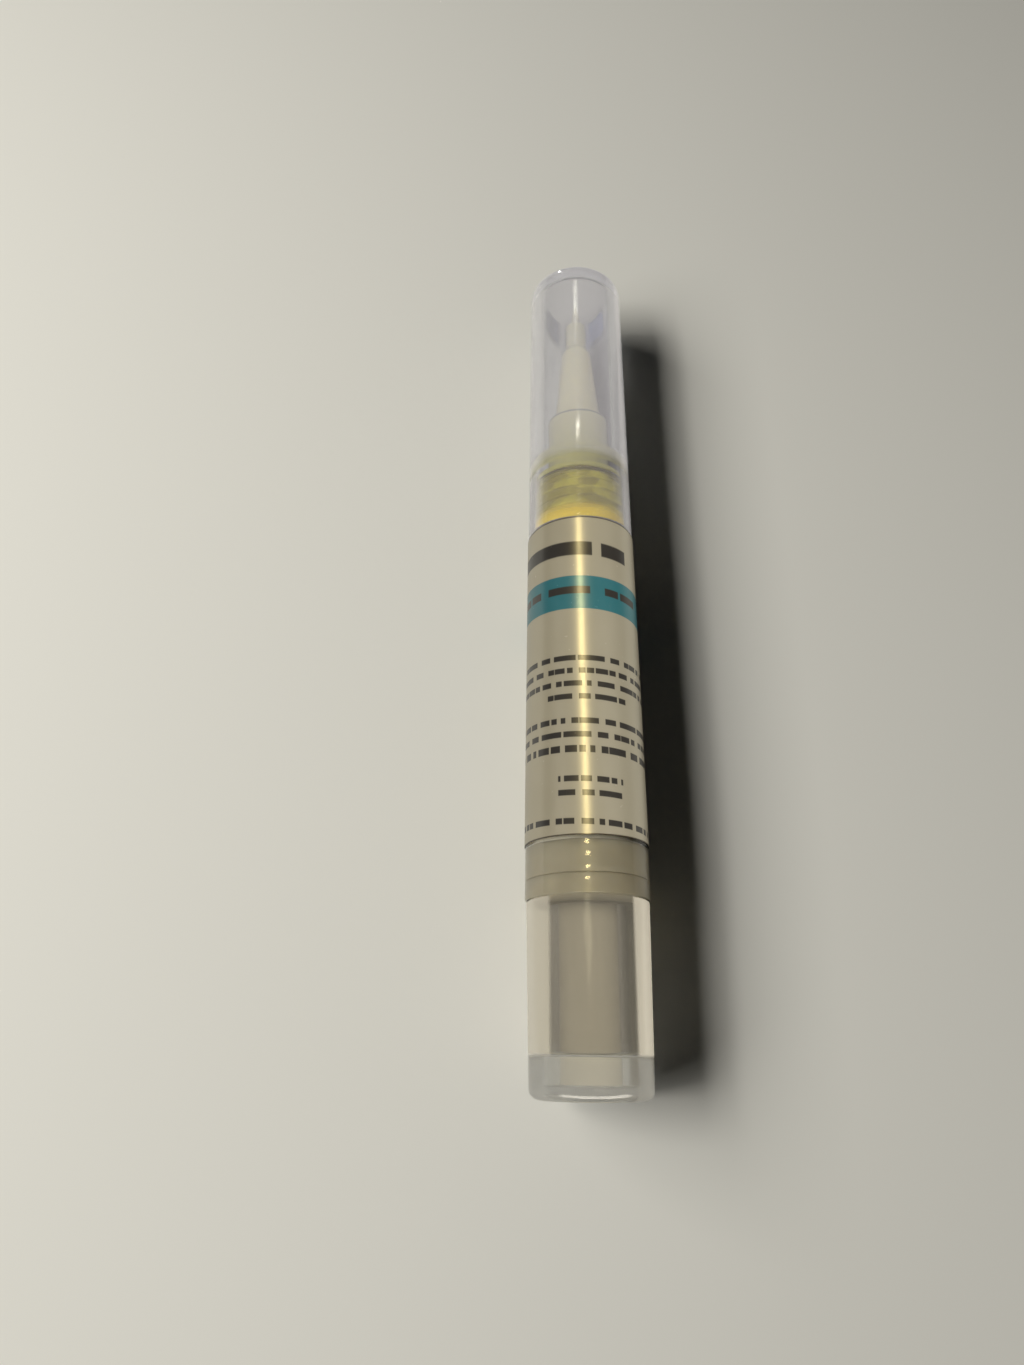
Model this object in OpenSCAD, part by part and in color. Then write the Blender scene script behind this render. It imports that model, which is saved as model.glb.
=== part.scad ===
// Twist-up nail oil pen. Each piece is drawn standing, its heights measured from the knob's closed end,
// and lay() puts it on its side: the knob towards -Y, the cap towards +Y, the floor at zero.

/* [Knob] */
// Length of the knob's grip
knob_len = 18.8; // [17:0.1:24]
// How far the knob's rim stands in from the barrel's
knob_step = 0.15; // [0.05:0.01:0.3]
// How much narrower the knob is at its closed end
knob_draft = 0.66; // [0.2:0.02:0.9]
// Thickness of the knob's outer shell
knob_wall = 0.7; // [0.6:0.05:0.8]
// Thickness of the tube in the middle of the knob
core_wall = 0.98; // [0.7:0.02:1.1]
// Solid plastic under the knob's ring-shaped hollow
knob_base = 3.9; // [2.5:0.1:6]
// Solid plastic under the knob's middle bore
knob_floor = 1.4; // [0.8:0.1:2]
// Radius of the edge round the knob's closed end
knob_round = 1; // [0.5:0.1:1.3]

/* [Barrel] */
// Diameter of the oil chamber
bore_d = 10.6; // [9:0.1:12.4]
// Length of the barrel from its tail to the shoulder under the cap
barrel_len = 43.5; // [36:0.5:52]
// How much further out the socket in the tail is than the chamber
socket_step = 0.5; // [0.4:0.05:0.7]
// Depth of the socket in the tail
socket_len = 14.3; // [12:0.1:16.5]
// Thickness of the barrel's wall at its tail
tail_wall = 0.8; // [0.6:0.05:1.2]
// Length of the neck that carries the cap
neck_len = 7.6; // [6.5:0.1:9]
// How much further in the neck's bore is than the chamber
neck_step = 0.55; // [0.4:0.05:0.7]
// Thickness of the neck's wall
neck_wall = 1; // [0.8:0.05:1.2]
// Height of the shoulder round the neck
shoulder_step = 0.61; // [0.5:0.01:0.8]

/* [Label] */
// Bare stretch of the barrel between its tail and the label
label_gap = 5.7; // [1:0.1:12]
// Thickness of the label film
label_t = 0.07; // [0.05:0.01:0.12]

/* [Cap] */
// Thickness of the cap's skirt round the neck
cap_wall = 0.55; // [0.4:0.01:0.7]
// Thickness of the cap's side past the neck
cap_side_wall = 1.55; // [1.2:0.05:1.9]
// Thickness of the cap's closed end
cap_end_wall = 1.3; // [1:0.1:1.8]
// How much narrower the cap is at its closed end
cap_draft = 0.4; // [0.2:0.02:0.6]
// Radius of the corner round the closed end
cap_round = 1.2; // [0.6:0.1:2]
// Room between the bristles and the closed end
brush_room = 0.9; // [0.5:0.1:4]

/* [Nozzle] */
// Depth of the plug in the neck
plug_len = 5.5; // [4.6:0.1:6.4]
// Number of sealing rings on the plug
ring_count = 4; // [2:1:4]
// How far the flange stands out from the nozzle's base
flange_step = 1.67; // [1.4:0.01:1.9]
// Length of the nozzle's base above its flange
base_len = 8.9; // [7:0.1:11]
// How far the base stands out from the cone
cone_step = 1.03; // [0.9:0.01:1.2]
// Length of the cone
cone_len = 12.9; // [10:0.1:16]
// Cone diameter at its top
cone_top_d = 4; // [3.4:0.1:4.6]
// Length of the thin tip
tip_len = 3.9; // [3.2:0.1:5]
// Diameter of the thin tip
tip_d = 2.86; // [2.5:0.02:3.3]
// Diameter of the bore in the thin tip
tip_bore_d = 2; // [1.7:0.05:2.3]

/* [Brush] */
// How far the bristles stand out of the tip
brush_out = 4; // [2.5:0.1:6]
// Number of bristles
bristle_count = 320; // [300:10:340]
// Width of one bristle
bristle_d = 0.054; // [0.04:0.002:0.056]

/* [Twist works] */
// Rise of the thread in one turn
lead = 1.5; // [1.4:0.1:1.8]
// Width of the screw over its thread
screw_d = 5.7; // [5:0.1:6.5]
// Thickness of the screw between its two flats
screw_flat = 3.2; // [2.6:0.1:3.8]
// Length of the piston
piston_len = 7.5; // [6:0.1:9]
// Room between the nut and the piston when the pen is full
piston_room = 2.2; // [1:0.1:4]
// Number of ratchet teeth
tooth_count = 24; // [18:1:30]

/* [Hidden] */
$fn = 96;

// Clearances, radial but for the seams: a running fit, a pressed fit, a seam between two shells
run_gap = 0.05;
press_gap = 0.02;
seam_gap = 0.1;
cut_over = 0.5;
edge_round = 0.15;

// Diameters that follow the oil chamber's, outwards to the tail and inwards to the neck
socket_d = bore_d + 2 * socket_step;
tail_d = socket_d + 2 * tail_wall;
neck_bore_d = bore_d - 2 * neck_step;
neck_d = neck_bore_d + 2 * neck_wall;
shoulder_d = neck_d + 2 * shoulder_step;
knob_d = tail_d - 2 * knob_step;

// Heights of the barrel, and where the oil chamber starts to narrow to the neck
tail_z = knob_len + seam_gap;
shoulder_z = tail_z + barrel_len;
throat_len = 1;
throat_z = shoulder_z - throat_len;
neck_top_z = shoulder_z + neck_len;

// Knob: its outer shell, and the tube in its middle that the screw draws back into
knob_r = knob_d / 2;
knob_end_r = knob_r - knob_draft / 2;
shell_r = knob_r - knob_wall;
shell_end_r = knob_end_r - knob_wall;
screw_r = screw_d / 2;
screw_room = 0.25;
core_bore_r = screw_r + screw_room;
core_r = core_bore_r + core_wall;
core_rise = 2.4;
core_top_z = knob_len + core_rise;
spigot_len = 0.6;

// Click driver: pressed on the knob's middle tube, snapped into the barrel, keyed to the screw
driver_len = 5.4;
driver_r = socket_d / 2 - run_gap;
driver_top_z = tail_z + driver_len;
bead_r = 0.2;
bead_rise = 2.4;
bead_z = tail_z + bead_rise;
finger_len = 1.6;
finger_t = 0.55;
finger_slot = 5;
nib_w = 0.5;

// Thread sleeve: pressed into the barrel's socket, ratchet teeth behind, the thread in front
sleeve_z = driver_top_z + seam_gap;
socket_end_z = tail_z + socket_len;
tooth_len = 2.2;
tooth_wall = 0.78;
tooth_h = 0.3;
tooth_root_r = socket_d / 2 - press_gap - tooth_wall;
tooth_crest_r = tooth_root_r - tooth_h;
tooth_lean_share = 0.85;
hollow_r = core_bore_r + screw_room;
hollow_len = 3.8;
nut_z = sleeve_z + hollow_len;
lug_w = 2;
lug_root = 0.3;

// Thread: the screw's ridge narrows outwards, and the nut's lugs stand in the groove between its turns
thread_h = 0.4;
root_r = screw_r - thread_h;
ridge_foot = 0.7;
ridge_crest = 0.3;
thread_gap = 0.08;
flank_gap = 0.12;
lead_angle = atan(lead / (PI * (root_r + screw_r)));

// Piston, which travels from here to the throat, and the screw's swivel head
piston_z = socket_end_z + piston_room;
piston_top_z = piston_z + piston_len;
piston_r = bore_d / 2 - run_gap;
lip_len = 0.9;
waist_depth = 0.35;
head_r = 2.2;
head_neck_r = 1.55;
head_len = 1.5;
head_lip = 1.2;
head_root = 1;
tail_room = 0.6;
screw_z = knob_floor + tail_room;
screw_top_z = piston_z - seam_gap;
tip_chamfer = 0.4;

// Barrel: its outside narrows evenly from the tail to the shoulder
groove_r = driver_r + bead_r + run_gap;
groove_half = bead_r + seam_gap;
function barrel_r(z) = (tail_d - (tail_d - shoulder_d) * (z - tail_z) / barrel_len) / 2;

// Label
label_inset = 0.1;
label_top_z = shoulder_z - label_inset;
label_z = tail_z + label_gap;
film_gap = 0.01;

// Nozzle, from the plug to the tip
plug_z = neck_top_z - plug_len;
flange_t = 0.7;
flange_z = neck_top_z + flange_t;
base_d = neck_d - 2 * flange_step;
base_z = flange_z + base_len;
cone_d = base_d - 2 * cone_step;
tip_z = base_z + cone_len;
tip_end_z = tip_z + tip_len;
base_round = 0.7;
foot_flare = 0.5;
foot_len = 1.5;
neck_down = 1;
ring_h = 0.35;
ring_len = 0.5;
ring_first = 0.5;
ring_last = 0.9;
ring_pitch = (plug_len - ring_first - ring_last - ring_len) / (ring_count - 1);
ring_r = neck_bore_d / 2 - press_gap;
plug_r = ring_r - ring_h;
plug_wall = 0.85;
plug_bore_r = plug_r - plug_wall;
base_wall = 1;
base_bore_r = base_d / 2 - base_wall;
tip_bore_r = tip_bore_d / 2;
funnel_len = 2;

// Brush
ferrule_len = 3.6;
ferrule_wall = 0.18;
ferrule_r = tip_bore_r - press_gap;
root_t = 0.6;
root_disc_r = ferrule_r - ferrule_wall - press_gap;
root_rise = 0.2;
root_z = tip_end_z - ferrule_len + root_rise;
feed_r = 0.25;
feed_bore_r = 0.15;
feed_below = 1;
feed_above = 1.5;
bristle_in_r = feed_r + press_gap + bristle_d;
bristle_out_r = root_disc_r - bristle_d;
bristle_draw_share = 0.15;
bristle_short_share = 0.22;
golden_angle = 137.508;

// Cap: its skirt fits the neck, and its closed end clears the bristles
skirt_r = neck_d / 2 + run_gap;
cap_d = 2 * (skirt_r + cap_wall);
cap_end_d = cap_d - cap_draft;
cap_bore_d = cap_d - 2 * cap_side_wall;
cap_bore_draft = 0.2;
cap_bore_end_r = (cap_bore_d - cap_bore_draft) / 2;
cap_inner_round = 1;
step_rise = 1.3;
step_len = 0.8;
step_z = flange_z + step_rise;
cap_z = shoulder_z + seam_gap;
cap_top_z = tip_end_z + brush_out + brush_room + cap_end_wall;

// Height of the axis when the pen lies on its widest place, at rest the label's lower end
rest_r = max(barrel_r(label_z) + film_gap + label_t, barrel_r(label_top_z) + film_gap + label_t,
    tail_d / 2, cap_d / 2);

// Oil: what it wets it stands just clear of
wet_gap = 0.02;
oil_z = piston_top_z + wet_gap;
oil_r = bore_d / 2 - wet_gap;

function arc(x, z, r, from, to, steps) = [for (i = [0 : steps])
    [x + r * cos(from + (to - from) * i / steps), z + r * sin(from + (to - from) * i / steps)]];

module lay() {
    translate([0, -cap_top_z / 2, rest_r]) rotate([-90, 0, 0]) children();
}

module turned(points) {
    lay() rotate_extrude() polygon(points);
}

module key_bar(gap, from_z, to_z) {
    intersection() {
        translate([0, 0, from_z]) cylinder(r = screw_r + gap, h = to_z - from_z);
        translate([-screw_d, -screw_flat / 2 - gap, from_z])
            cube([2 * screw_d, screw_flat + 2 * gap, to_z - from_z]);
    }
}

module cap() {
    hollow_z = cap_top_z - cap_end_wall;
    color([0.78, 0.78, 0.84, 0.6]) turned(concat(
        [[skirt_r, cap_z]],
        arc(cap_d / 2 - edge_round, cap_z + edge_round, edge_round, -90, 0, 3),
        arc(cap_end_d / 2 - cap_round, cap_top_z - cap_round, cap_round, 0, 90, 8),
        [[0, cap_top_z], [0, hollow_z]],
        arc(cap_bore_end_r - cap_inner_round, hollow_z - cap_inner_round, cap_inner_round, 90, 0, 6),
        [[cap_bore_d / 2, step_z + step_len], [skirt_r, step_z]]));
}

module nozzle() {
    ring_tops = [for (i = [0 : ring_count - 1]) let (z = plug_z + ring_first + i * ring_pitch) each [
        [plug_r, z], [ring_r, z + ring_len / 3], [ring_r, z + 2 * ring_len / 3], [plug_r, z + ring_len]]];
    color([0.86, 0.87, 0.76, 0.8]) turned(concat(
        [[plug_bore_r, plug_z], [plug_r, plug_z]],
        ring_tops,
        [[plug_r, neck_top_z], [neck_d / 2, neck_top_z]],
        arc(neck_d / 2 - edge_round, flange_z - edge_round, edge_round, 0, 90, 3),
        [[base_d / 2, flange_z]],
        arc(base_d / 2 - base_round, base_z - base_round, base_round, 0, 90, 5),
        [[cone_d / 2 + foot_flare, base_z], [cone_d / 2 + foot_flare / 4, base_z + foot_len / 3],
            [cone_d / 2, base_z + foot_len], [cone_top_d / 2, tip_z - neck_down], [tip_d / 2, tip_z]],
        arc(tip_d / 2 - edge_round, tip_end_z - edge_round, edge_round, 0, 90, 3),
        [[tip_bore_r, tip_end_z], [tip_bore_r, base_z + funnel_len], [base_bore_r, base_z - base_wall],
            [base_bore_r, neck_top_z], [plug_bore_r, neck_top_z - base_wall]]));
}

module brush_ferrule() {
    color("silver") turned([
        [ferrule_r - ferrule_wall, tip_end_z - ferrule_len], [ferrule_r, tip_end_z - ferrule_len],
        [ferrule_r, tip_end_z], [ferrule_r - ferrule_wall, tip_end_z]]);
}

// One strand leans in towards the axis, the more the further out it stands, so none meets another
module bristle(share) {
    foot_r = sqrt(pow(bristle_in_r, 2) + (pow(bristle_out_r, 2) - pow(bristle_in_r, 2)) * share);
    foot_z = root_z + root_t / 2;
    height = (tip_end_z + brush_out - foot_z) - brush_out * bristle_short_share * share;
    translate([foot_r, 0, foot_z]) rotate([0, -atan(foot_r * bristle_draw_share / height), 0])
        cylinder(d = bristle_d, h = height, $fn = 3);
}

module bristles() {
    color("ivory") lay() union() {
        translate([0, 0, root_z]) difference() {
            cylinder(r = root_disc_r, h = root_t);
            translate([0, 0, -cut_over]) cylinder(r = feed_r + press_gap, h = root_t + 2 * cut_over);
        }
        for (i = [0 : bristle_count - 1])
            rotate([0, 0, i * golden_angle]) bristle((i + 0.5) / bristle_count);
    }
}

module feed_tube() {
    color("white") turned([
        [feed_bore_r, root_z - feed_below], [feed_r, root_z - feed_below],
        [feed_r, tip_end_z + feed_above], [feed_bore_r, tip_end_z + feed_above]]);
}

module barrel() {
    color([0.9, 0.9, 0.86, 0.45]) turned(concat(
        [[socket_d / 2, tail_z]],
        arc(tail_d / 2 - edge_round, tail_z + edge_round, edge_round, -90, 0, 3),
        arc(shoulder_d / 2 - edge_round, shoulder_z - edge_round, edge_round, 0, 90, 3),
        [[neck_d / 2, shoulder_z], [neck_d / 2, neck_top_z], [neck_bore_d / 2, neck_top_z],
            [neck_bore_d / 2, shoulder_z], [bore_d / 2, throat_z], [bore_d / 2, socket_end_z],
            [socket_d / 2, socket_end_z], [socket_d / 2, bead_z + groove_half],
            [groove_r, bead_z + groove_half], [groove_r, bead_z - groove_half],
            [socket_d / 2, bead_z - groove_half]]));
}

module label() {
    foot_r = barrel_r(label_z) + film_gap;
    top_r = barrel_r(label_top_z) + film_gap;
    color([0.9, 0.88, 0.8]) turned([
        [foot_r, label_z], [foot_r + label_t, label_z],
        [top_r + label_t, label_top_z], [top_r, label_top_z]]);
}

module oil() {
    color([0.85, 0.75, 0.1, 0.7]) turned([
        [0, oil_z], [oil_r, oil_z], [oil_r, throat_z], [neck_bore_d / 2 - wet_gap, shoulder_z],
        [neck_bore_d / 2 - wet_gap, plug_z - wet_gap], [plug_bore_r - wet_gap, plug_z - wet_gap],
        [plug_bore_r - wet_gap, neck_top_z - base_wall], [base_bore_r - wet_gap, neck_top_z],
        [base_bore_r - wet_gap, base_z - base_wall - wet_gap], [0, base_z - base_wall - wet_gap]]);
}

module piston() {
    cavity_z = piston_z + head_lip;
    cavity_top_z = cavity_z + head_len + 2 * run_gap;
    waist_r = piston_r - waist_depth;
    color("whitesmoke") turned([
        [head_neck_r + run_gap, piston_z], [piston_r, piston_z], [piston_r, piston_z + lip_len],
        [waist_r, piston_z + 2 * lip_len], [waist_r, piston_top_z - 2 * lip_len],
        [piston_r, piston_top_z - lip_len], [piston_r, piston_top_z], [0, piston_top_z],
        [0, cavity_top_z], [head_r + run_gap, cavity_top_z], [head_r + run_gap, cavity_z],
        [head_neck_r + run_gap, cavity_z]]);
}

// The ridges of one side of the screw, each tilted to follow the thread across that side
module ridge_row(side) {
    first_z = screw_z + (side > 0 ? lead : lead / 2) + ridge_foot;
    count = floor((screw_top_z - first_z - ridge_foot) / lead);
    intersection() {
        translate([side > 0 ? 0 : -screw_d, -screw_flat / 2, screw_z])
            cube([screw_d, screw_flat, screw_top_z - screw_z]);
        union() for (i = [0 : count])
            translate([0, 0, first_z + i * lead]) rotate([side * lead_angle, 0, 0]) rotate_extrude()
                polygon([[0, -ridge_foot / 2], [root_r, -ridge_foot / 2], [screw_r, -ridge_crest / 2],
                    [screw_r, ridge_crest / 2], [root_r, ridge_foot / 2], [0, ridge_foot / 2]]);
    }
}

module screw_rod() {
    head_z = piston_z + head_lip + run_gap;
    color([0.82, 0.8, 0.74]) lay() union() {
        intersection() {
            rotate_extrude() polygon([
                [0, screw_z], [root_r - tip_chamfer, screw_z], [root_r, screw_z + tip_chamfer],
                [root_r, screw_top_z], [0, screw_top_z]]);
            key_bar(0, screw_z, screw_top_z);
        }
        ridge_row(1);
        ridge_row(-1);
        rotate_extrude() polygon([
            [0, screw_top_z - head_root], [head_neck_r, screw_top_z - head_root], [head_neck_r, head_z],
            [head_r, head_z], [head_r, head_z + head_len], [0, head_z + head_len]]);
    }
}

// A row of lugs down one side of the nut, each tilted like the groove of the screw that it runs in
module lug_row(angle) {
    crest_w = lead - ridge_foot - 2 * flank_gap;
    foot_w = lead - ridge_crest - 2 * flank_gap;
    crest_r = root_r + thread_gap;
    foot_r = screw_r + thread_gap + lug_root;
    spread = (foot_w - crest_w) * lug_root / thread_h;
    root_w = foot_w + spread;
    start_z = screw_z + ridge_foot + lead / 2 + lead * angle / 360;
    first_z = start_z + lead * ceil((nut_z + root_w - start_z) / lead);
    count = floor((socket_end_z - root_w - first_z) / lead);
    rotate([0, 0, angle]) intersection() {
        translate([0, -lug_w / 2, nut_z]) cube([screw_d, lug_w, socket_end_z - nut_z]);
        union() for (i = [0 : count])
            translate([0, 0, first_z + i * lead]) rotate([lead_angle, 0, 0]) rotate_extrude()
                polygon([[crest_r, -crest_w / 2], [foot_r, -root_w / 2], [foot_r, root_w / 2],
                    [crest_r, crest_w / 2]]);
    }
}

module thread_sleeve() {
    step = 360 / tooth_count;
    outer_r = socket_d / 2 - press_gap;
    nut_bore_r = screw_r + thread_gap;
    color("lightgray") lay() union() {
        difference() {
            rotate_extrude() polygon([
                [nut_bore_r, socket_end_z], [outer_r, socket_end_z], [outer_r, sleeve_z],
                [hollow_r, sleeve_z], [hollow_r, nut_z], [nut_bore_r, nut_z]]);
            translate([0, 0, sleeve_z - cut_over]) linear_extrude(tooth_len + cut_over)
                polygon([for (i = [0 : tooth_count - 1])
                    let (a = i * step, b = (i + tooth_lean_share) * step) each [
                        [tooth_root_r * cos(a), tooth_root_r * sin(a)],
                        [tooth_crest_r * cos(b), tooth_crest_r * sin(b)]]]);
        }
        for (angle = [0 : 90 : 270]) lug_row(angle);
    }
}

module click_driver() {
    finger_r = tooth_crest_r - run_gap;
    finger_out_r = finger_r - nib_w / 2;
    finger_in_r = finger_out_r - finger_t;
    color("whitesmoke") lay() difference() {
        union() {
            rotate_extrude() polygon(concat(
                [[0, core_top_z], [core_r + press_gap, core_top_z],
                    [core_r + press_gap, knob_len - spigot_len],
                    [shell_r - press_gap, knob_len - spigot_len],
                    [shell_r - press_gap, knob_len], [driver_r, knob_len]],
                arc(driver_r, bead_z, bead_r, -90, 90, 6),
                [[driver_r, driver_top_z], [0, driver_top_z]]));
            translate([0, 0, driver_top_z]) difference() {
                cylinder(r = finger_out_r, h = finger_len);
                translate([0, 0, -cut_over]) cylinder(r = finger_in_r, h = finger_len + 2 * cut_over);
                translate([-driver_r, -finger_slot / 2, 0])
                    cube([2 * driver_r, finger_slot, finger_len + cut_over]);
            }
            for (side = [-1, 1])
                translate([-nib_w / 2, side > 0 ? finger_r - nib_w : -finger_r, driver_top_z])
                    cube([nib_w, nib_w, finger_len]);
        }
        key_bar(run_gap, core_top_z - cut_over, driver_top_z + cut_over);
    }
}

module knob() {
    color([0.88, 0.86, 0.8, 0.45]) turned(concat(
        [[0, 0]],
        arc(knob_end_r - knob_round, knob_round, knob_round, -90, 0, 6),
        arc(knob_r - edge_round, knob_len - edge_round, edge_round, 0, 90, 3),
        [[shell_r, knob_len], [shell_r, knob_len - spigot_len], [shell_end_r, knob_base],
            [core_r, knob_base], [core_r, core_top_z], [core_bore_r, core_top_z],
            [core_bore_r, knob_floor], [0, knob_floor]]));
}

cap();
nozzle();
brush_ferrule();
bristles();
feed_tube();
barrel();
label();
oil();
piston();
screw_rod();
thread_sleeve();
click_driver();
knob();
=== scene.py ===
import math
import random
import bmesh
import bpy
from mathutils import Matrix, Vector


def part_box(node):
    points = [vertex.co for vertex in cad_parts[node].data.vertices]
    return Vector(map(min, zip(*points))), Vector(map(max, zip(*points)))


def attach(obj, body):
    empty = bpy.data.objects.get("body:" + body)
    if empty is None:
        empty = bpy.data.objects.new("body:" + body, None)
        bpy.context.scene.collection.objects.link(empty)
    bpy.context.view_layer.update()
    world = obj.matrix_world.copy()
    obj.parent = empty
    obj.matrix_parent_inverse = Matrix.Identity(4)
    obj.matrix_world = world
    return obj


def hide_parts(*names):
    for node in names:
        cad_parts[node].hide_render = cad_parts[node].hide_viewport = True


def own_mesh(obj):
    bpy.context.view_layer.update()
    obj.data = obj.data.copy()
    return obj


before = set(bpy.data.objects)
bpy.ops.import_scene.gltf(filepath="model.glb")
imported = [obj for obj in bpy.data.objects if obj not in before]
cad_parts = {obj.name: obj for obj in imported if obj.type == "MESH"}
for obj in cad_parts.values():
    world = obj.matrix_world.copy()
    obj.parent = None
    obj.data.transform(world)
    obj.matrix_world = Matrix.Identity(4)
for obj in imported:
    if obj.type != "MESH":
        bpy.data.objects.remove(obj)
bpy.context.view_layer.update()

# Camera: close above the knob, looking down along the pen towards the cap, as a phone held by hand.
# The pen lies along Y in the middle of the floor, which is at zero.
mm = 0.001
camera_place = (-7.75 * mm, -47.72 * mm, 102.67 * mm)
camera_tilt, camera_turn = math.radians(22.742), math.radians(0.651)
bpy.ops.object.camera_add(location=camera_place, rotation=(camera_tilt, 0, camera_turn))
camera = bpy.context.object
camera.data.lens = 23.736
camera.data.clip_start = 5 * mm
bpy.context.scene.camera = camera

# Barrel: the tube that holds the oil, one clear styrenic moulding. Its tail is an open socket for the twist
# works, and it steps in to a neck, tinted by the oil, for the nozzle and the cap. Here and below, heights
# are in mm from the knob's closed end, and radii in mm from the pen's axis.
knob_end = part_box("knob")[0][1]
axis_z = (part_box("barrel")[0][2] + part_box("barrel")[1][2]) / 2
tail, shoulder, neck_top = 18.9, 62.4, 70
throat = shoulder - 1
tail_r, shoulder_r, neck_r = 6.6, 6.36, 5.75
bore_r, neck_bore_r = 5.3, 4.75
socket_r, socket_end = 5.8, 33.2
groove_low, groove_high, groove_r = 21.05, 21.55, 6
label_low, label_high = 24.6, 62.3


def deselect():
    bpy.ops.object.select_all(action="DESELECT")


def select_places(mesh_object, wanted):
    """Selects the vertices of the piece being edited for whose place wanted(place) is true."""
    mesh = bmesh.from_edit_mesh(mesh_object.data)
    for vertex in mesh.verts:
        vertex.select = wanted(vertex.co)
    mesh.select_flush_mode()
    bmesh.update_edit_mesh(mesh_object.data)


def turn(name, outline, closed=True, steps=128):
    """A piece turned on the pen's axis. Each point of its outline is a height in mm from the knob's end, a
    radius in mm, and the length that is cut off its corner to round it, if it has one."""
    same_place = mm / 1000
    deselect()
    places = [Vector((0, knob_end + point[0] * mm, axis_z + point[1] * mm)) for point in outline]
    bpy.ops.mesh.primitive_plane_add(size=mm, location=places[0])
    piece = bpy.context.object
    piece.name = name
    bpy.ops.object.transform_apply(location=True, rotation=True, scale=True)
    bpy.ops.object.mode_set(mode="EDIT")
    bpy.ops.mesh.select_mode(type="VERT")
    bpy.ops.mesh.merge(type="CENTER")
    for before, after in zip(places, places[1:] + (places[:1] if closed else [])):
        bpy.ops.mesh.extrude_region_move(TRANSFORM_OT_translate={"value": after - before})
    bpy.ops.mesh.select_all(action="SELECT")
    bpy.ops.mesh.remove_doubles(threshold=same_place)
    for point, place in zip(outline, places):
        if len(point) > 2:
            select_places(piece, lambda spot: (spot - place).length < same_place)
            bpy.ops.mesh.bevel(offset=point[2] * mm, segments=6, affect="VERTICES")
    bpy.ops.mesh.select_all(action="SELECT")
    bpy.ops.mesh.spin(steps=steps, angle=math.tau, center=(0, 0, axis_z), axis=(0, 1, 0))
    bpy.ops.mesh.select_all(action="SELECT")
    bpy.ops.mesh.remove_doubles(threshold=same_place / 2)
    bpy.ops.mesh.normals_make_consistent(inside=False)
    bpy.ops.object.mode_set(mode="OBJECT")
    bpy.ops.object.shade_smooth_by_angle(angle=math.radians(35))
    return piece


class Value:
    """A number in a material. Arithmetic on it adds the material's Math nodes."""

    def __init__(self, finish, socket):
        self.finish = finish
        self.socket = socket

    def math(self, operation, *numbers):
        return self.finish.add("Math", {"operation": operation}, dict(enumerate(numbers)))["Value"]

    def __add__(self, other):
        return self.math("ADD", self, other)

    def __sub__(self, other):
        return self.math("SUBTRACT", self, other)

    def __rsub__(self, other):
        return self.math("SUBTRACT", other, self)

    def __mul__(self, other):
        return self.math("MULTIPLY", self, other)

    def __truediv__(self, other):
        return self.math("DIVIDE", self, other)

    def __abs__(self):
        return self.math("ABSOLUTE", self)

    def step(self, start, end):
        """From 0 at start to 1 at end, smoothly."""
        return self.finish.add(
            "MapRange", {"interpolation_type": "SMOOTHSTEP"},
            {"Value": self, "From Min": start, "From Max": end})["Result"]

    def between(self, start, end, soft):
        """1 from start to end and 0 elsewhere, with edges as wide as soft."""
        return self.step(start, start + soft) * (1 - self.step(end, end + soft))

    __radd__ = __add__
    __rmul__ = __mul__


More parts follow.
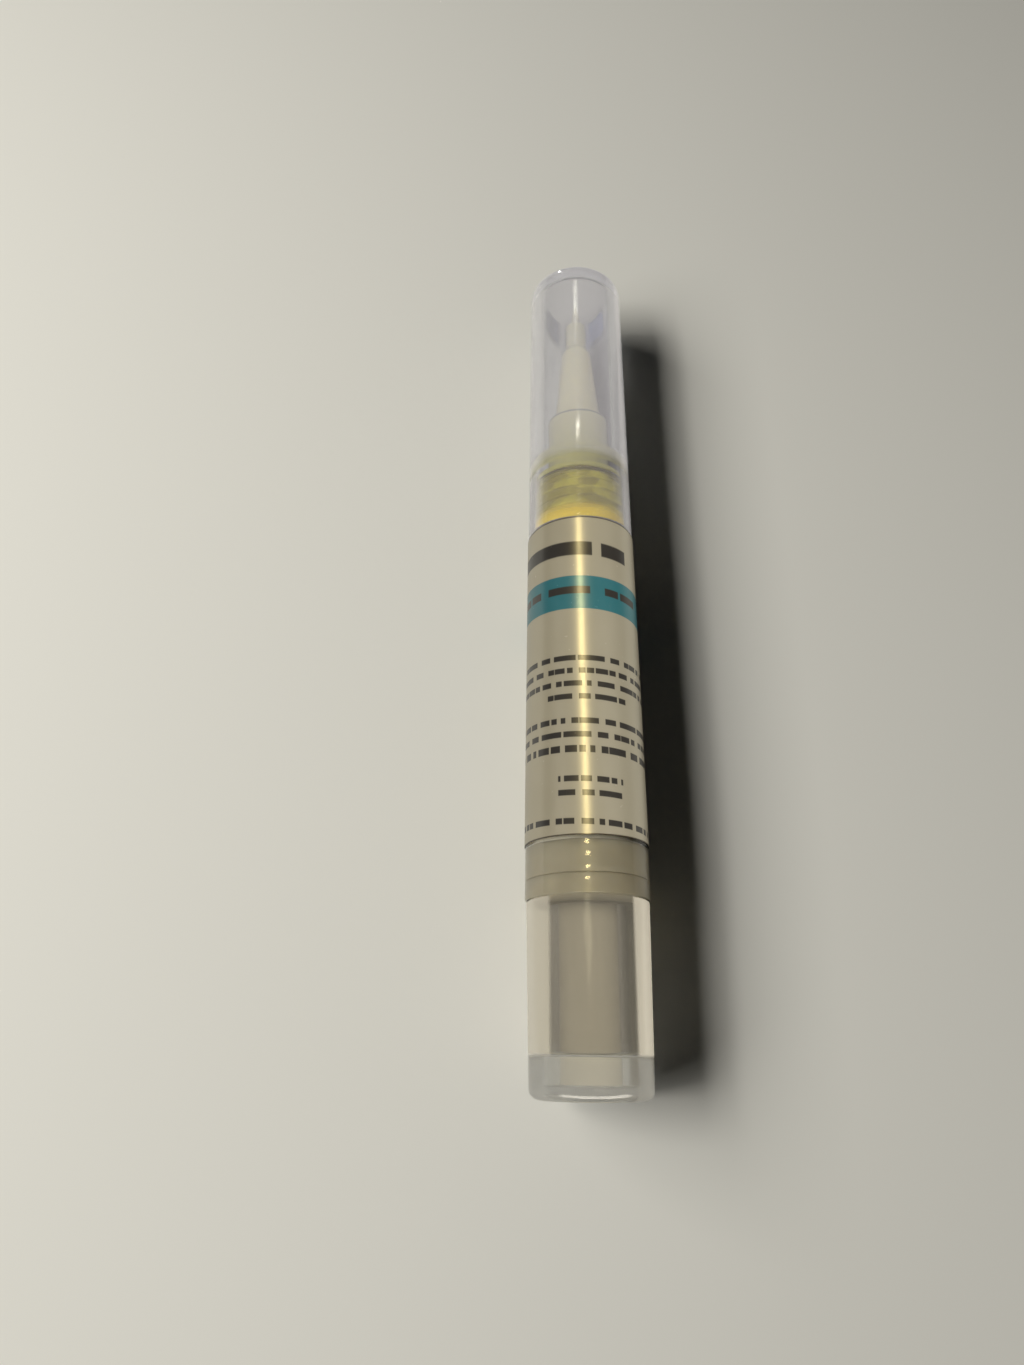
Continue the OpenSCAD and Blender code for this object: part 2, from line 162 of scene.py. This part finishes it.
class Finish:
    """A material of the pen, with its Principled shader."""

    def __init__(self, name, **sockets):
        self.material = bpy.data.materials.new(name)
        self.material.use_nodes = True
        self.nodes = self.material.node_tree.nodes
        self.links = self.material.node_tree.links
        self.shader = self.nodes["Principled BSDF"]
        self.place = self.add("TexCoord")["Object"]
        self.set(**sockets)

    def fill(self, node, sockets):
        for key, value in sockets.items():
            if isinstance(value, Value):
                self.links.new(value.socket, node.inputs[key])
            else:
                node.inputs[key].default_value = value

    def add(self, kind, settings=None, sockets=None):
        """Adds a node and returns its outputs by name."""
        node = self.nodes.new("ShaderNode" + kind)
        for key, value in (settings or {}).items():
            setattr(node, key, value)
        self.fill(node, sockets or {})
        return {out.name: Value(self, out) for out in node.outputs if out.enabled}

    def set(self, **sockets):
        """Sets the Principled shader's sockets, with _ for each space."""
        self.fill(self.shader, {key.replace("_", " "): value for key, value in sockets.items()})

    def noise(self, size, stretch=(1, 1, 1), detail=2):
        """Noise from about 0.3 to 0.7 with lumps of that size in mm, longer where stretch is more."""
        spread = self.add("Mapping", {}, {
            "Vector": self.place, "Scale": [1 / (size * mm * length) for length in stretch]})["Vector"]
        return self.add("TexNoise", {}, {"Vector": spread, "Scale": 1, "Detail": detail})["Fac"]

    def mix(self, share, first, second):
        """A colour between two."""
        return self.add("Mix", {"data_type": "RGBA"}, {"Factor": share, 6: first, 7: second})["Result"]

    def bump(self, height, depth):
        """Relief of that depth in mm, from a height of 0 to 1."""
        normal = self.add("Bump", {}, {"Height": height, "Strength": 1, "Distance": depth * mm})["Normal"]
        self.set(Normal=normal)

    def where(self):
        """How far a point of the surface is across the pen, along it and above the floor, in metres."""
        return self.add("SeparateXYZ", {}, {"Vector": self.place}).values()

    def height(self):
        """How far a point of the surface is from the knob's closed end, in mm."""
        across, along, up = self.where()
        return (along - knob_end) / mm

    def from_axis(self):
        """How far a point of the surface is from the pen's axis, in mm."""
        across, along, up = self.where()
        return across.math("SQRT", across * across + (up - axis_z) * (up - axis_z)) / mm

    def beyond(self, radius):
        """1 where the surface is further than that from the pen's axis, in mm."""
        return self.from_axis().step(radius, radius + 0.05)

    def blend_in(self, share, shader):
        """Mixes another shader into the surface."""
        output = self.nodes["Material Output"]
        surface = Value(self, output.inputs["Surface"].links[0].from_socket)
        whole = self.add("MixShader", {}, {0: share, 1: surface, 2: shader["BSDF"]})
        self.fill(output, {"Surface": whole["Shader"]})

    def veil(self, share, colour):
        """Covers that share of the surface with a matt colour: a thin film, or painted shade or light."""
        self.blend_in(share, self.add("BsdfDiffuse", {}, {"Color": colour}))

    def open_up(self, share, tint):
        """Light passes straight through that share of the surface and takes that tint."""
        self.blend_in(share, self.add("BsdfTransparent", {}, {"Color": tint}))

    def glow_through(self, share, colour):
        """That share of the light that falls on the back shows on the front."""
        self.blend_in(share, self.add("BsdfTranslucent", {}, {"Color": colour}))

    def cloud(self, colour, per_mm):
        """The haze inside the piece, which sends light back to where it came from."""
        haze = self.add("VolumeScatter", {}, {"Color": colour, "Density": per_mm / mm, "Anisotropy": -0.4})
        self.fill(self.nodes["Material Output"], {"Volume": haze["Volume"]})

    def let_light_through(self, tint, skin=0.0):
        """Light for what lies inside passes straight in and takes that tint. Where the surface is skin, the
        outside of the pen, it gets out again only at the underside, because the round wall bends it away."""
        entering = 1 - self.add("NewGeometry")["Backfacing"]
        across, along, up = self.where()
        above_underside = (up / mm).step(2, 2.8)
        kept = entering * skin * above_underside
        shadow = self.add("LightPath")["Is Shadow Ray"]
        self.open_up(shadow * (1 - kept), tint)

    def put_on(self, *pieces):
        for piece in pieces:
            piece.data.materials.clear()
            piece.data.materials.append(self.material)


barrel_shell = turn("barrel_shell", [
    (tail, socket_r, 0.1), (tail, tail_r, 0.25), (shoulder, shoulder_r, 0.15), (shoulder, neck_r, 0.1),
    (neck_top, neck_r, 0.2), (neck_top, neck_bore_r, 0.1), (shoulder, neck_bore_r, 0.5),
    (throat, bore_r, 0.5), (socket_end, bore_r), (socket_end, socket_r), (groove_high, socket_r),
    (groove_high, groove_r), (groove_low, groove_r), (groove_low, socket_r)])
clear_barrel = Finish("clear_barrel_plastic", Transmission_Weight=1, IOR=1.5)
up_barrel = clear_barrel.height()
in_tail = 1 - up_barrel.step(label_low - 0.4, label_low)
on_neck = up_barrel.step(shoulder + 0.1, shoulder + 0.4)
clear_barrel.set(Base_Color=clear_barrel.mix(
    up_barrel.step(shoulder - 0.1, shoulder + 0.1), (0.96, 0.95, 0.92, 1), (0.92, 0.86, 0.5, 1)))
rubbed = clear_barrel.noise(1.5, (1, 6, 1)).step(0.5, 0.8)
clear_barrel.set(Roughness=0.02 + 0.1 * rubbed + 0.08 * in_tail)
phase = up_barrel * 5 + clear_barrel.noise(1.2, (4, 1, 4)) * 5
ripple = phase.math("SINE", phase)
clear_barrel.bump(ripple * (in_tail + 2 * on_neck), 0.02)
golden = up_barrel.step(label_high - 0.4, label_high) * (1 - up_barrel.step(shoulder + 1, shoulder + 2.8))
clear_barrel.veil(0.65 * golden, (0.5, 0.36, 0, 1))
clear_barrel.let_light_through((0.92, 0.92, 0.9, 1), skin=clear_barrel.beyond(6.2))
clear_barrel.put_on(barrel_shell)
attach(barrel_shell, "barrel")
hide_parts("barrel")

# Thread sleeve: the fixed nut of natural polypropylene, pressed into the barrel's socket. Its ratchet
# teeth face the knob and give the click, and the screw winds through its other end.
works_plastic = Finish("natural_polypropylene", Roughness=0.45, Subsurface_Weight=0.25)
works_plastic.set(Subsurface_Radius=(2 * mm, 1.7 * mm, 1.2 * mm), Subsurface_Scale=1)
works_plastic.set(Base_Color=works_plastic.mix(
    works_plastic.noise(3), (0.66, 0.62, 0.52, 1), (0.74, 0.7, 0.6, 1)))
works_plastic.bump(works_plastic.noise(0.25), 0.006)
works_plastic.put_on(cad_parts["thread_sleeve"])

# Screw: a rod with two flats and a thread on its two round sides, drawn back into the knob while the pen
# is full. Its swivel head snaps into the piston.
works_plastic.put_on(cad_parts["screw_rod"])

# Piston: soft white polyethylene with a wiping lip at each end, pushed up the barrel by the screw. The
# oil stands in front of it.
soft_white = Finish("soft_white_polyethylene", Roughness=0.4)
soft_white.set(Base_Color=soft_white.mix(soft_white.noise(2), (0.78, 0.77, 0.72, 1), (0.84, 0.83, 0.79, 1)))
soft_white.bump(soft_white.noise(0.3), 0.004)
soft_white.put_on(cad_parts["piston"])

# Oil column: what the barrel holds in front of the piston. It shortens towards the neck as the piston
# comes forward, and wets the barrel's wall, so its skin lies just inside that wall.
wetted = 0.02
piston_top = 42.9
oil_column = turn("oil_column", [
    (piston_top, 0), (piston_top, bore_r + wetted, 0.3), (throat + 0.1, bore_r + wetted), (throat + 0.1, 0)],
    closed=False)


def yellow_oil(name):
    finish = Finish(name, Base_Color=(0.78, 0.69, 0.06, 1), Roughness=0, Transmission_Weight=1, IOR=1.47)
    finish.cloud((1, 0.9, 0.15, 1), 0.15)
    return finish


oil = yellow_oil("yellow_oil")
oil.let_light_through((0.98, 0.94, 0.6, 1))
oil.put_on(oil_column)
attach(oil_column, "barrel")
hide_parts("oil")
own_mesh(oil_column)

# Oil in the neck: it stands round the nozzle's plug and in its bore, up to the flange. Its skin on the
# neck's wall is thin and mottled.
oil_top = neck_top - 0.4
bore_oil_top = neck_top + 0.4
neck_oil = turn("neck_oil", [
    (throat, 0), (throat, bore_r + wetted, 0.5), (shoulder, neck_bore_r + wetted, 0.5),
    (oil_top, neck_bore_r + wetted), (oil_top, 3.5), (bore_oil_top, 3), (bore_oil_top, 0)], closed=False)
oil_skin = yellow_oil("yellow_oil_round_the_plug")
mottled = oil_skin.noise(1.6, (1.5, 0.7, 1.5)).step(0.35, 0.65)
oil_skin.veil(0.08 + 0.34 * mottled, (0.4, 0.38, 0.04, 1))
oil_skin.let_light_through((0.98, 0.94, 0.6, 1))
oil_skin.put_on(neck_oil)
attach(neck_oil, "barrel")
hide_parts("oil")

# Label: a satin printed film wrapped round the barrel between its tail and its shoulder. It is off-white
# with a teal band and rows of plain broken rules, which rise a little round the barrel.
film, film_gap = 0.07, 0.01
band_low, band_high = 50.15, 54.35
label_r, slant = 6.5, 0.039


def barrel_radius(height):
    return tail_r - (tail_r - shoulder_r) * (height - tail) / (shoulder - tail)


low_r, high_r = barrel_radius(label_low) + film_gap, barrel_radius(label_high) + film_gap
label_wrap = turn("label_wrap", [
    (label_low, low_r), (label_low, low_r + film), (label_high, high_r + film), (label_high, high_r)])
label_film = Finish("printed_film", Coat_Weight=1, Coat_Roughness=0.38, Specular_IOR_Level=1, Metallic=0.12)
across, along, up = label_film.where()
row = (along - knob_end) / mm
round_mm = across.math("ARCTAN2", across, up - axis_z) * label_r
printed = row + round_mm * slant


def rules(top, pitch, count, thick, left, right, breaks):
    """Rows of broken rules: how high the first starts, how far apart they are, how many, their share of the
    row, where they start and end round the label in mm, and how often they break, where 0 is never."""
    rows = (top - printed) / pitch
    number = rows.math("FLOOR", rows)
    ink = (rows - number).between(0, thick, 0.06) * rows.between(-0.001, count, 0.001)
    gaps = label_film.add("TexNoise", {"noise_dimensions": "1D"}, {
        "W": round_mm + number * 9 + top, "Scale": breaks, "Detail": 0})["Fac"].step(0.58, 0.6)
    return ink * (1 - gaps) * round_mm.between(left, right, 0.1)


paper = label_film.mix(label_film.noise(4), (0.43, 0.39, 0.29, 1), (0.46, 0.42, 0.32, 1))
teal = label_film.mix(label_film.noise(2), (0.042, 0.19, 0.22, 1), (0.05, 0.21, 0.24, 1))
dark_ink, edge_shade_colour = (0.05, 0.045, 0.04, 1), (0.06, 0.045, 0.03, 1)
colour = label_film.mix(printed.between(band_low, band_high, 0.1), paper, teal)
ruled_rows = [
    rules(59, 3.2, 1, 0.56, -12, 0.8, 0),
    rules(59, 3.2, 1, 0.56, 1.9, 5.4, 0),
    rules(53.1, 1.9, 1, 0.5, -12, 8, 0.45),
    rules(44.5, 1.51, 3, 0.42, -12, 11, 1.1),
    rules(39.97, 1.51, 1, 0.42, -5, 4.4, 1.1),
    rules(37.2, 1.54, 2, 0.42, -12, 11, 1.1),
    rules(34.1, 1.54, 1, 0.5, -12, 9.5, 1.1),
    rules(30.8, 1.5, 2, 0.42, -3.4, 3.6, 1.1),
    rules(26.3, 1.5, 1, 0.42, -12, 10, 1.1)]
for ink in ruled_rows:
    colour = label_film.mix(ink, colour, dark_ink)
# The label's two edges are darkened: painted shade in the gap at each edge.
edge_shade = 1 - (row - label_low).step(0.05, 0.16) * (label_high - row).step(0.05, 0.16)
colour = label_film.mix(edge_shade, colour, edge_shade_colour)
label_film.set(Base_Color=colour, Roughness=0.2 + 0.1 * label_film.noise(0.6))
label_film.bump(label_film.noise(5, (1, 2, 1)), 0.02)
label_film.glow_through(0.4, colour)
label_film.let_light_through((0.6, 0.57, 0.5, 1), skin=label_film.beyond(6.3))
label_film.put_on(label_wrap)
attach(label_wrap, "barrel")
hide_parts("label")

# Click driver: the frosted insert that shows in the barrel's clear tail. It is pressed on the knob's
# middle tube, the bead round it snaps into the socket's groove, and its key turns the screw.
driver_low, driver_high, tube_top = 18.2, 24.38, 21.2
driver_r, driver_bore_r = 5.82, 2.9
bead_low, bead_high, bead_r = 21.03, 21.57, 6.02
click_driver = turn("driver_with_rings", [
    (tube_top, driver_bore_r), (tube_top, 4.1), (driver_low, 4.1), (driver_low, 5.7), (18.8, 5.7),
    (18.95, driver_r), (bead_low, driver_r), (bead_low, bead_r), (bead_high, bead_r), (bead_high, driver_r),
    (driver_high, driver_r), (driver_high, driver_bore_r)])
driver_plastic = Finish("hazy_driver_plastic", Roughness=0.3, Subsurface_Weight=0.9, Subsurface_Scale=1)
driver_plastic.set(Subsurface_Radius=(3 * mm, 2.7 * mm, 2.2 * mm))
shaded = 1 - driver_plastic.height().step(driver_low + 0.1, driver_low + 0.5)
colour = driver_plastic.mix(driver_plastic.noise(2), (0.34, 0.31, 0.24, 1), (0.44, 0.41, 0.33, 1))
driver_plastic.set(Base_Color=driver_plastic.mix(0.7 * shaded, colour, (0.16, 0.14, 0.12, 1)))
driver_plastic.bump(driver_plastic.noise(0.4), 0.004)
driver_plastic.glow_through(0.3, (0.5, 0.46, 0.36, 1))
driver_plastic.put_on(click_driver)
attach(click_driver, "knob")
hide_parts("click_driver")

# Knob: the clear grip that is turned to feed the oil. A ring-shaped hollow runs round its middle tube,
# which holds the screw and has a frosted bore, and its closed end is thick and rounded.
knob_end_r, knob_rim, knob_rim_r = 6.12, 18.8, 6.45
hollow_low, hollow_low_r, hollow_rim_r = 3.9, 5.42, 5.75
tube_r, tube_low, tube_bore_r = 4.08, 1.4, 3.1
knob_shell = turn("knob_shell", [
    (0, 0), (0, knob_end_r, 1), (knob_rim, knob_rim_r, 0.15), (knob_rim, hollow_rim_r),
    (driver_low, hollow_rim_r), (hollow_low, hollow_low_r, 0.5), (hollow_low, tube_r, 0.4),
    (tube_top, tube_r, 0.1), (tube_top, tube_bore_r, 0.1), (tube_low, tube_bore_r, 0.2), (tube_low, 0)],
    closed=False)
clear_knob = Finish("clear_knob_plastic", Transmission_Weight=1, IOR=1.5)
up_knob = clear_knob.height()
outer = clear_knob.beyond(5.85)
# The middle tube is tinted a darker lilac grey: painted shade for the dark reflections in its curved walls.
core_reflection_shade = (1 - clear_knob.from_axis().step(4.2, 4.4)) * up_knob.step(1, 1.2)
clear_knob.set(Roughness=0.02 + 0.12 * outer)
clear_knob.set(Base_Color=clear_knob.mix(core_reflection_shade, (0.8, 0.77, 0.68, 1), (0.62, 0.6, 0.66, 1)))
clear_knob.cloud((0.9, 0.84, 0.73, 1), 0.18)
across, along, up = clear_knob.where()
# Both sides of the outer wall get a pale matt veil: painted light that brightens the slanted wall there.
painted_side_light = (abs(across) / mm).step(3.95, 4.4) * up_knob.step(hollow_low - 0.1, hollow_low + 0.3)
clear_knob.veil(outer * (0.04 + 0.27 * painted_side_light), (0.8, 0.74, 0.62, 1))
skin = 1 - (1 - outer) * up_knob.step(tube_low - 0.15, tube_low - 0.1)
clear_knob.let_light_through((0.97, 0.97, 0.95, 1), skin)
clear_knob.put_on(knob_shell)
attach(knob_shell, "knob")
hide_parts("knob")
lining_low, lining_high, lining_r, lining_out_r = 1.5, 21.1, 2.93, 3.03
bore_lining = turn("knob_bore_lining", [
    (lining_low, lining_r), (lining_low, lining_out_r), (lining_high, lining_out_r), (lining_high, lining_r)])
frosted_lining = Finish("frosted_lining", Roughness=0.3, Specular_IOR_Level=1)
frosted_lining.set(Base_Color=frosted_lining.mix(
    frosted_lining.noise(3), (0.72, 0.66, 0.5, 1), (0.8, 0.74, 0.57, 1)))
frosted_lining.glow_through(0.4, (0.6, 0.56, 0.46, 1))
frosted_lining.put_on(bore_lining)
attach(bore_lining, "knob")

# Nozzle: frosted polypropylene, snapped into the neck by its ringed plug. Above the flange it narrows by
# a base and a cone to the thin tip that holds the brush.
plug_end, plug_r, plug_bore_r = 64.5, 4.38, 3.53
flange_top, flange_r = 70.7, 5.75
base_top, base_r, base_bore_r = 79.6, 4.08, 3.08
tip_start, tip_end, tip_r, tip_bore_r = 92.5, 96.4, 1.43, 1
ring_count, ring_pitch, ring_r = 4, 1.2, 4.73
plug_rings = []
for ring in range(ring_count):
    low = plug_end + 0.5 + ring * ring_pitch
    plug_rings += [(low, plug_r), (low + 0.17, ring_r, 0.08), (low + 0.33, ring_r, 0.08), (low + 0.5, plug_r)]
nozzle_body = turn("nozzle_body", [(plug_end, plug_bore_r, 0.1), (plug_end, plug_r, 0.2)] + plug_rings + [
    (neck_top, plug_r), (neck_top, flange_r, 0.1), (flange_top, flange_r, 0.25), (flange_top, base_r, 0.2),
    (base_top, base_r, 0.3), (base_top, 3.3, 0.2), (base_top + 1.5, 3.05, 1), (tip_start - 1, 2, 0.4),
    (tip_start, tip_r, 0.3), (tip_end, tip_r, 0.15), (tip_end, tip_bore_r), (base_top + 2, tip_bore_r),
    (base_top - 1, base_bore_r), (neck_top, base_bore_r), (neck_top - 1, plug_bore_r)])
frosted = Finish("frosted_polypropylene", Roughness=0.25, Subsurface_Weight=0.8, Subsurface_Scale=1)
frosted.set(Coat_Weight=1, Coat_Roughness=0.08)
frosted.set(Subsurface_Radius=(2 * mm, 1.8 * mm, 1.3 * mm))
cream = frosted.mix(frosted.noise(2), (0.8, 0.74, 0.5, 1), (0.86, 0.8, 0.58, 1))
oily = frosted.mix(frosted.noise(1.2), (0.4, 0.38, 0.08, 1), (0.52, 0.49, 0.14, 1))
up_nozzle = frosted.height()
above_oil = up_nozzle.step(68, 84)
colour = frosted.mix(above_oil, oily, cream)
# A dark band at the base's top edge is painted shade in the crease.
crease_shade = up_nozzle.between(base_top - 0.5, base_top + 0.2, 0.2)
frosted.set(Base_Color=colour)
frosted.bump(frosted.noise(0.4), 0.002)
frosted.glow_through(0.3, colour)
frosted.veil(0.7 * crease_shade, (0.07, 0.07, 0.09, 1))
frosted.put_on(nozzle_body)
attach(nozzle_body, "barrel")
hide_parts("nozzle")

# Ferrule and feed tube: the small sleeve that grips the brush in the tip, and the fine tube that leads
# the oil through the brush's root.
works_plastic.put_on(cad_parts["brush_ferrule"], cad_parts["feed_tube"])

# Brush: fine nylon strands, fused at the root and drawn to a point by the oil. One strand is modelled and
# copied, and the copies fill the root evenly, with the outer ones a little shorter.
brush_root, brush_end = 93, 100.4
root_top, root_r, root_bore_r = brush_root + 0.6, 0.78, 0.27
strand_count, strand_out = 420, 0.78
strand_r, strand_tip_r = 0.03, 0.008
strand_length = (brush_end - brush_root) * mm
golden_angle = math.radians(137.508)
deselect()
bpy.ops.mesh.primitive_cone_add(
    vertices=5, radius1=strand_r * mm, radius2=strand_tip_r * mm, depth=strand_length, end_fill_type="NGON",
    location=(0, 0, strand_length / 2))
strand = bpy.context.object
bpy.ops.object.transform_apply(location=True, rotation=True, scale=True)
bpy.ops.object.mode_set(mode="EDIT")
for cut in (0.35, 0.6, 0.8):
    bpy.ops.mesh.select_all(action="SELECT")
    bpy.ops.mesh.bisect(plane_co=(0, 0, cut * strand_length), plane_no=(0, 0, 1))
bpy.ops.object.mode_set(mode="OBJECT")
draws = random.Random(7)
strands = []
for number in range(strand_count):
    share = (number + 0.5) / strand_count
    round_root = number * golden_angle
    out = strand_out * math.sqrt(share) * mm
    copy = strand.copy()
    copy.data = strand.data.copy()
    bpy.context.collection.objects.link(copy)
    strands.append(copy)
    length_share = 1 - 0.22 * share + draws.uniform(-0.04, 0.04)
    pull = draws.uniform(0.45, 0.65)
    for vertex in copy.data.vertices:
        risen = vertex.co.z / strand_length
        keep = 1 - pull * risen ** 1.6
        vertex.co = Vector((
            vertex.co.x + out * math.cos(round_root) * keep,
            knob_end + brush_root * mm + vertex.co.z * length_share,
            axis_z + vertex.co.y + out * math.sin(round_root) * keep))
deselect()
bpy.data.objects.remove(strand)
for copy in strands:
    copy.select_set(True)
bpy.context.view_layer.objects.active = strands[0]
bpy.ops.object.join()
brush_strands = bpy.context.object
brush_strands.name = "brush_strands"
bpy.ops.object.mode_set(mode="EDIT")
bpy.ops.mesh.select_all(action="SELECT")
bpy.ops.mesh.normals_make_consistent(inside=False)
bpy.ops.object.mode_set(mode="OBJECT")
bpy.ops.object.shade_smooth_by_angle(angle=math.radians(60))
brush_fused_root = turn("brush_fused_root", [
    (brush_root, root_bore_r), (brush_root, root_r), (root_top, root_r, 0.1), (root_top, root_bore_r)],
    steps=48)
nylon = Finish("nylon_filament", Roughness=0.3, Subsurface_Weight=0.3)
nylon.set(Subsurface_Radius=(0.3 * mm, 0.25 * mm, 0.15 * mm), Subsurface_Scale=1)
nylon.set(Base_Color=nylon.mix(nylon.noise(0.4, (1, 8, 1)), (0.74, 0.68, 0.5, 1), (0.82, 0.78, 0.64, 1)))
nylon.put_on(brush_strands, brush_fused_root)
for piece in (brush_strands, brush_fused_root):
    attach(piece, "barrel")
    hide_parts("bristles")

# Cap: frosted polypropylene that slides over the neck and covers the brush. Its wall is thin over the neck
# and thick beyond it, and its hollow ends short of the rounded top. A bluish shadow of the tip is painted on
# its rear wall there.
cap_open, cap_open_r, cap_top, cap_top_r = 62.5, 6.35, 102.6, 6.15
skirt_bore_r, skirt_end, wall_start = 5.8, 72, 73
cap_hollow_low_r, cap_hollow_top_r, cap_hollow_top = 4.8, 4.7, cap_top - 1.3
cap_shell = turn("cap_shell", [
    (cap_open, skirt_bore_r), (cap_open, cap_open_r, 0.15), (cap_top, cap_top_r, 1.2), (cap_top, 0),
    (cap_hollow_top, 0), (cap_hollow_top, cap_hollow_top_r, 1), (wall_start, cap_hollow_low_r, 0.6),
    (skirt_end, skirt_bore_r, 0.6)])
cap_plastic = Finish("frosted_cap_plastic", Base_Color=(0.98, 0.97, 0.99, 1), Transmission_Weight=1, IOR=1.5)
cap_plastic.set(Roughness=0.05 + 0.1 * cap_plastic.noise(1.5, (1, 6, 1)).step(0.45, 0.8))
cap_plastic.cloud((1, 0.95, 0.98, 1), 0.28)
across, along, up = cap_plastic.where()
up_cap = cap_plastic.height()
inside = 1 - cap_plastic.beyond(5.9)
past_skirt = up_cap.step(skirt_end - 1, skirt_end - 0.6)
step_zone = past_skirt * (1 - up_cap.step(wall_start + 0.6, wall_start + 1.2))
cap_plastic.open_up(0.85 * inside * step_zone, (1, 1, 1, 1))
hollow_end = inside * up_cap.step(cap_hollow_top - 0.2, cap_hollow_top - 0.05)
rear = ((axis_z - up) / mm).step(0.5, 1.5) * (abs(across) / mm).step(1.8, 2.8)
# Painted shadow: a bluish patch on the hollow's rear wall near its end, beside the tip.
tip_shadow_patch = inside * rear * up_cap.step(96.5, 98.5) * (1 - hollow_end)
cap_plastic.veil(0.6 * tip_shadow_patch, (0.2, 0.26, 0.5, 1))
cap_plastic.veil(0.06 * hollow_end, (0.8, 0.72, 0.64, 1))
# The outer wall's two sides get a pale matt veil: painted light that brightens the slanted wall there.
cap_plastic.veil(0.12 * (1 - inside) * (abs(across) / mm).step(4.6, 5.4), (0.8, 0.78, 0.76, 1))
skin = 1 - (1 - cap_plastic.beyond(6)) * (1 - up_cap.step(cap_hollow_top + 0.2, cap_hollow_top + 0.3))
cap_plastic.let_light_through((0.97, 0.97, 0.99, 1), skin)
cap_plastic.put_on(cap_shell)
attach(cap_shell, "cap")
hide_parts("cap")

# Studio: a plain pale floor, and two key lights from the left that cast the pen's dark shadow. The other
# lamps light single pieces of the pen only, some of them just as highlights.
floor_size = 3
deselect()
bpy.ops.mesh.primitive_plane_add(size=floor_size, location=(0, 0, 0))
floor = bpy.context.object
floor.name = "floor"
pale = Finish("pale_floor", Base_Color=(0.84, 0.83, 0.77, 1), Roughness=0.8)
pale.put_on(floor)
pieces = [piece for piece in bpy.context.scene.objects if piece.type == "MESH" and piece != floor]


def lamp(name, place, size, size_y, power, colour):
    """A lamp at that place in metres from the pen's middle, which it faces, with its sides in metres."""
    deselect()
    bpy.ops.object.light_add(type="AREA", location=place)
    light = bpy.context.object
    light.name = name
    light.rotation_euler = (-Vector(place)).to_track_quat("-Z", "X").to_euler()
    light.data.shape = "RECTANGLE"
    light.data.size = size
    light.data.size_y = size_y
    light.data.energy = power
    light.data.color = colour
    light.visible_glossy = light.visible_transmission = False
    return light


def light_only(light, bounces, lit):
    """The lamp lights only those pieces, and only over paths with at most so many bounces."""
    light.light_linking.receiver_collection = bpy.data.collections.new("lit_by_" + light.name)
    for piece in lit:
        light.light_linking.receiver_collection.objects.link(piece)
    light.data.cycles.max_bounces = bounces


def highlight_only(light):
    light.visible_glossy = True
    light.visible_diffuse = light.visible_volume_scatter = False


outside = [label_wrap, barrel_shell, knob_shell, cap_shell]
held_inside = [piece for piece in pieces if piece not in outside]
glossy_inside = [piece for piece in pieces if piece not in (cap_shell, knob_shell, nozzle_body)]
daylight, warm_white = (1, 0.98, 0.93), (1, 0.97, 0.9)
lamp("key", (-0.27, -0.03, 0.32), 0.1, 0.2, 0.8, daylight)
lamp("soft_key", (-0.46, 0, 0.35), 0.2, 0.7, 2.2, daylight)
fill = lamp("fill", (0.435, 0.119, 0.396), 0.4, 0.4, 5.5, warm_white)
light_only(fill, 0, [label_wrap])
inner_light = lamp("inner_light", (0.26, 0.155, 0.52), 0.4, 0.4, 2.3, warm_white)
light_only(inner_light, 8, held_inside)
top_light = lamp("top_light", (0.06, 0, 0.6), 0.4, 0.4, 4.5, (1, 0.96, 0.86))
light_only(top_light, 4, [barrel_shell, neck_oil, bore_lining])
cap_light = lamp("cap_light", (0.36, 0.14, 0.45), 0.4, 0.4, 5.5, (1, 0.98, 0.94))
light_only(cap_light, 1, [cap_shell])
knob_light = lamp("knob_light", (0.5, -0.1, 0.2), 0.3, 0.3, 3, warm_white)
light_only(knob_light, 0, [knob_shell])
knob_fill = lamp("knob_fill", (0.4, -0.1, 0.4), 0.3, 0.3, 2.4, warm_white)
light_only(knob_fill, 1, [knob_shell])
strip = lamp("strip", (-0.044, 0.225, 0.55), 0.3, 0.07, 1.6, (1, 0.82, 0.38))
light_only(strip, 4, glossy_inside)
highlight_only(strip)
low_strip = lamp("low_strip", (-0.044, 0.06, 0.55), 0.12, 0.1, 0.1, (1, 0.9, 0.6))
light_only(low_strip, 1, [knob_shell])
highlight_only(low_strip)
spark = lamp("spark", (-0.03, 0.363, 0.47), 0.01, 0.08, 0.15, (1, 0.95, 0.8))
light_only(spark, 8, [cap_shell])
spark.visible_transmission = True
spark.visible_diffuse = spark.visible_volume_scatter = False
glint = lamp("glint", (-0.21, 0.534, 0.174), 0.08, 0.04, 0.8, (1, 0.98, 0.95))
light_only(glint, 1, [cap_shell])
highlight_only(glint)
rim = lamp("rim", (0.055, -0.555, 0.222), 0.3, 1.4, 11, (1, 0.95, 0.84))
light_only(rim, 1, [knob_shell])
highlight_only(rim)
world = bpy.data.worlds.new("studio")
bpy.context.scene.world = world
world.use_nodes = True
background = world.node_tree.nodes["Background"]
background.inputs["Color"].default_value = (0.86, 0.9, 1, 1)
background.inputs["Strength"].default_value = 0.008
bpy.context.scene.view_settings.view_transform = "Standard"
